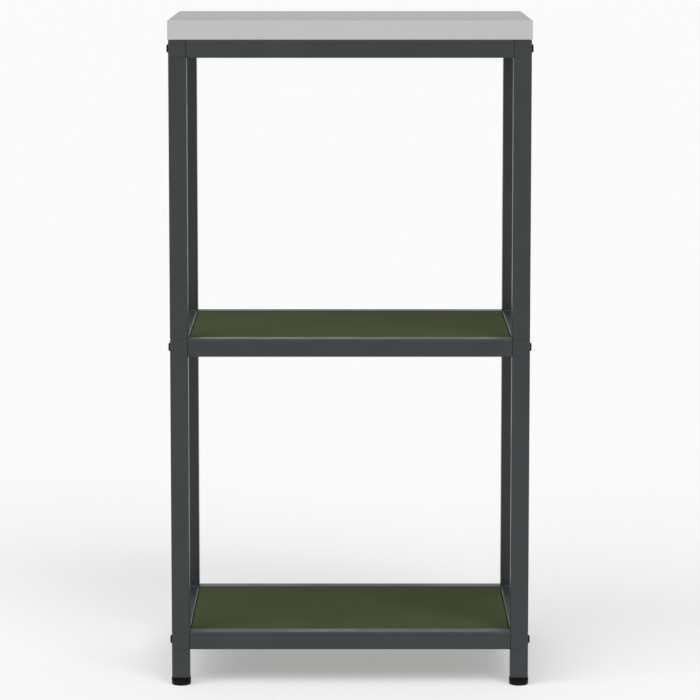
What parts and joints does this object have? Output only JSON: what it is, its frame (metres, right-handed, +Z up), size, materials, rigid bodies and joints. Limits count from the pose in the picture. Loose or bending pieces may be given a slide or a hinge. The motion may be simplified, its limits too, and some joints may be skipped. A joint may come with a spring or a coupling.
{
  "type": "potting bench",
  "caption": "Slim free-standing potting bench with a grey worktop on a dark square-tube frame, olive green tray shelves and screw-adjustable feet.",
  "frame": {"origin": "on the floor, under the middle of the bench, with the feet screwed right in", "axes": "+Z up; +X to the right of someone who faces the bench's front; the front faces -Y"},
  "size_m": [0.505, 0.352, 0.932],
  "materials": {
    "anthracite_powder_coat": "satin anthracite powder coat with a very fine orange peel",
    "green_powder_coat": "matte olive green powder coat",
    "grey_worktop_sheet": "satin light grey coated sheet",
    "core_board": "raw particle board",
    "black_bolts": "satin black coated steel",
    "zinc_plated_steel": "bright zinc plating",
    "black_foot_plastic": "moulded black plastic"
  },
  "bodies": {
    "bench": {"bottom_shelf_lugs": "anthracite_powder_coat", "bottom_shelf_screws": "zinc_plated_steel", "bottom_shelf_stiffener": "green_powder_coat", "bottom_shelf_tray": "green_powder_coat", "cross_rail_end_plates": "anthracite_powder_coat", "cross_rail_weld_nuts": "zinc_plated_steel", "foot_end_plates": "anthracite_powder_coat", "foot_weld_nuts": "zinc_plated_steel", "front_bottom_cross_rail": "anthracite_powder_coat", "front_middle_cross_rail": "anthracite_powder_coat", "front_top_cross_rail": "anthracite_powder_coat", "left_bottom_side_rail": "anthracite_powder_coat", "left_frame_bolts": "black_bolts", "left_front_leg_stub": "anthracite_powder_coat", "left_front_lower_leg": "anthracite_powder_coat", "left_front_upper_leg": "anthracite_powder_coat", "left_middle_side_rail": "anthracite_powder_coat", "left_rear_leg_stub": "anthracite_powder_coat", "left_rear_lower_leg": "anthracite_powder_coat", "left_rear_upper_leg": "anthracite_powder_coat", "left_side_rail_caps": "anthracite_powder_coat", "left_top_side_rail": "anthracite_powder_coat", "middle_shelf_lugs": "anthracite_powder_coat", "middle_shelf_screws": "zinc_plated_steel", "middle_shelf_stiffener": "green_powder_coat", "middle_shelf_tray": "green_powder_coat", "rear_bottom_cross_rail": "anthracite_powder_coat", "rear_middle_cross_rail": "anthracite_powder_coat", "rear_top_cross_rail": "anthracite_powder_coat", "right_bottom_side_rail": "anthracite_powder_coat", "right_frame_bolts": "black_bolts", "right_front_leg_stub": "anthracite_powder_coat", "right_front_lower_leg": "anthracite_powder_coat", "right_front_upper_leg": "anthracite_powder_coat", "right_middle_side_rail": "anthracite_powder_coat", "right_rear_leg_stub": "anthracite_powder_coat", "right_rear_lower_leg": "anthracite_powder_coat", "right_rear_upper_leg": "anthracite_powder_coat", "right_side_rail_caps": "anthracite_powder_coat", "right_top_side_rail": "anthracite_powder_coat", "worktop_cladding": "grey_worktop_sheet", "worktop_core": "core_board", "worktop_screws": "zinc_plated_steel"},
    "left_front_foot": {"left_front_foot_base": "black_foot_plastic", "left_front_foot_stud": "zinc_plated_steel"},
    "left_rear_foot": {"left_rear_foot_base": "black_foot_plastic", "left_rear_foot_stud": "zinc_plated_steel"},
    "right_front_foot": {"right_front_foot_base": "black_foot_plastic", "right_front_foot_stud": "zinc_plated_steel"},
    "right_rear_foot": {"right_rear_foot_base": "black_foot_plastic", "right_rear_foot_stud": "zinc_plated_steel"}
  },
  "joints": [
    {"name": "left_front_foot_slide", "type": "slide", "parent": "bench", "child": "left_front_foot", "axis": [0, 0, -1], "range_m": [0, 0.012]},
    {"name": "left_rear_foot_slide", "type": "slide", "parent": "bench", "child": "left_rear_foot", "axis": [0, 0, -1], "range_m": [0, 0.012]},
    {"name": "right_front_foot_slide", "type": "slide", "parent": "bench", "child": "right_front_foot", "axis": [0, 0, -1], "range_m": [0, 0.012]},
    {"name": "right_rear_foot_slide", "type": "slide", "parent": "bench", "child": "right_rear_foot", "axis": [0, 0, -1], "range_m": [0, 0.012]}
  ]
}
